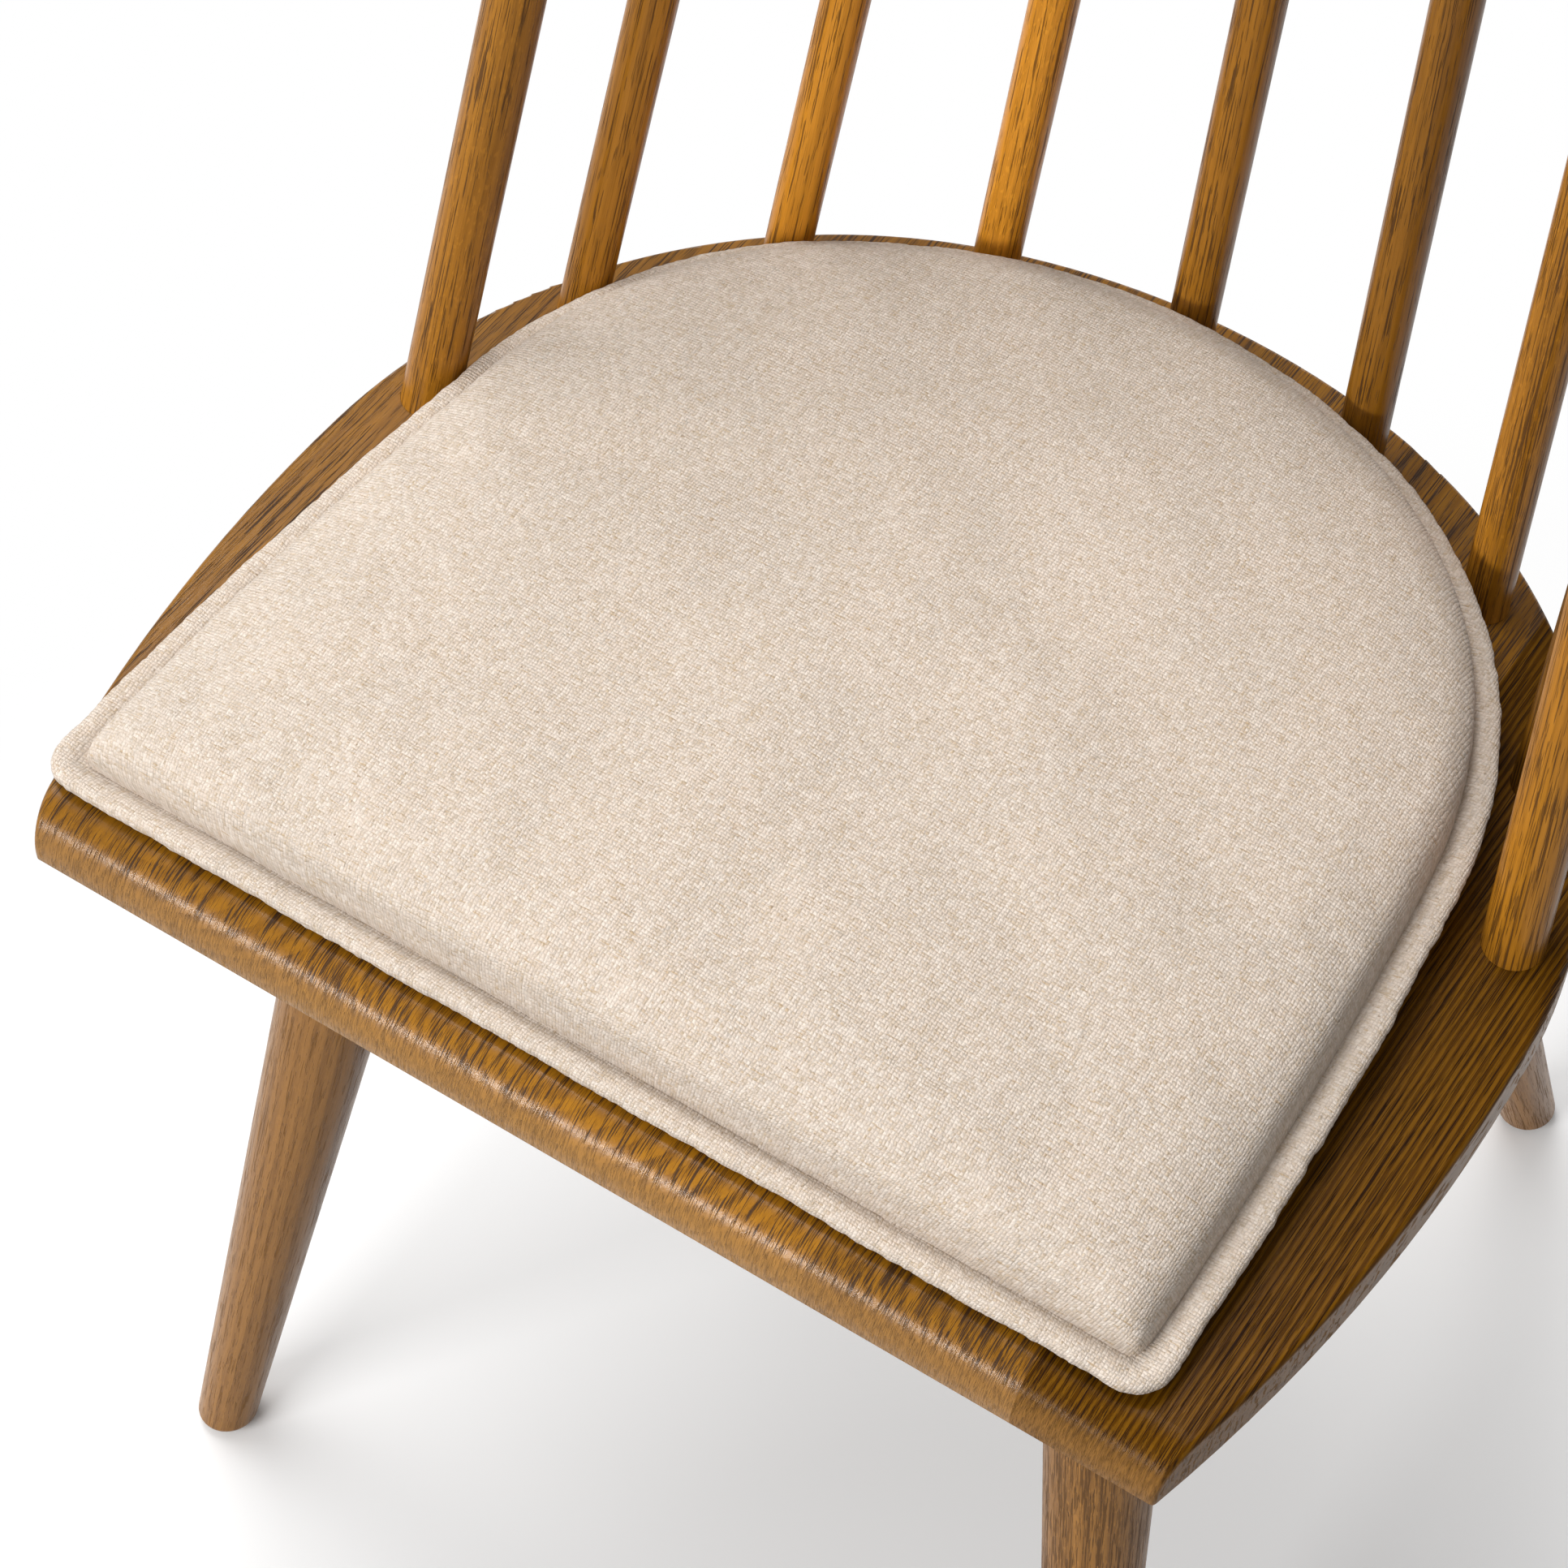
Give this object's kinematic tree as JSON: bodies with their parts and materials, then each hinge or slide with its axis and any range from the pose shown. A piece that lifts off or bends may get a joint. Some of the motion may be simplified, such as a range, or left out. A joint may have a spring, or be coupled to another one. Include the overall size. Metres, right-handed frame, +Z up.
{
  "type": "spindle-back armchair",
  "caption": "Oak spindle-back chair with a bent wrap-around arm rail, splayed tapered legs wedged through a staved seat, and a loose flanged fabric seat cushion.",
  "frame": {"origin": "on the floor, on the chair's middle plane, half-way between the seat's front edge and the back of the rail", "axes": "+Z up; -Y towards the front, the way a sitter faces; +X to the right of someone who stands in front and faces the chair"},
  "size_m": [0.493, 0.4804, 0.7994],
  "materials": {
    "seat_oak": "satin lacquered oak, golden brown, open pores",
    "spindle_oak": "satin lacquered turned oak, golden brown",
    "rail_oak": "satin lacquered oak, golden brown",
    "leg_oak": "satin lacquered turned oak, paler brown",
    "wedge_oak": "satin lacquered end grain",
    "dowel_beech": "raw fluted dowel",
    "glide_nylon": "moulded nylon",
    "nail_steel": "plain wire nail",
    "cushion_cloth": "plain weave oatmeal cloth with slubs",
    "cushion_foam": "cut polyurethane foam",
    "zip_nylon": "nylon coil zip with painted slider"
  },
  "bodies": {
    "frame": {"arm_left": "rail_oak", "arm_right": "rail_oak", "back_rail": "rail_oak", "end_post_left": "spindle_oak", "end_post_right": "spindle_oak", "glide_front_left": "glide_nylon", "glide_front_right": "glide_nylon", "glide_nails": "nail_steel", "glide_rear_left": "glide_nylon", "glide_rear_right": "glide_nylon", "leg_front_left": "leg_oak", "leg_front_right": "leg_oak", "leg_rear_left": "leg_oak", "leg_rear_right": "leg_oak", "leg_wedges": "wedge_oak", "rail_dowels": "dowel_beech", "seat_stave_1": "seat_oak", "seat_stave_2": "seat_oak", "seat_stave_3": "seat_oak", "seat_stave_4": "seat_oak", "seat_stave_5": "seat_oak", "seat_stave_6": "seat_oak", "spindle_1": "spindle_oak", "spindle_2": "spindle_oak", "spindle_3": "spindle_oak", "spindle_4": "spindle_oak", "spindle_5": "spindle_oak", "spindle_6": "spindle_oak", "spindle_7": "spindle_oak"},
    "cushion": {"cushion_bottom_panel": "cushion_cloth", "cushion_flange": "cushion_cloth", "cushion_foam": "cushion_foam", "cushion_top_panel": "cushion_cloth", "cushion_zip": "zip_nylon", "zip_slider": "zip_nylon"}
  },
  "joints": [
    {"name": "cushion_lift", "type": "slide", "parent": "frame", "child": "cushion", "axis": [0, -0.6, 0.8], "range_m": [0, 0.28]}
  ]
}
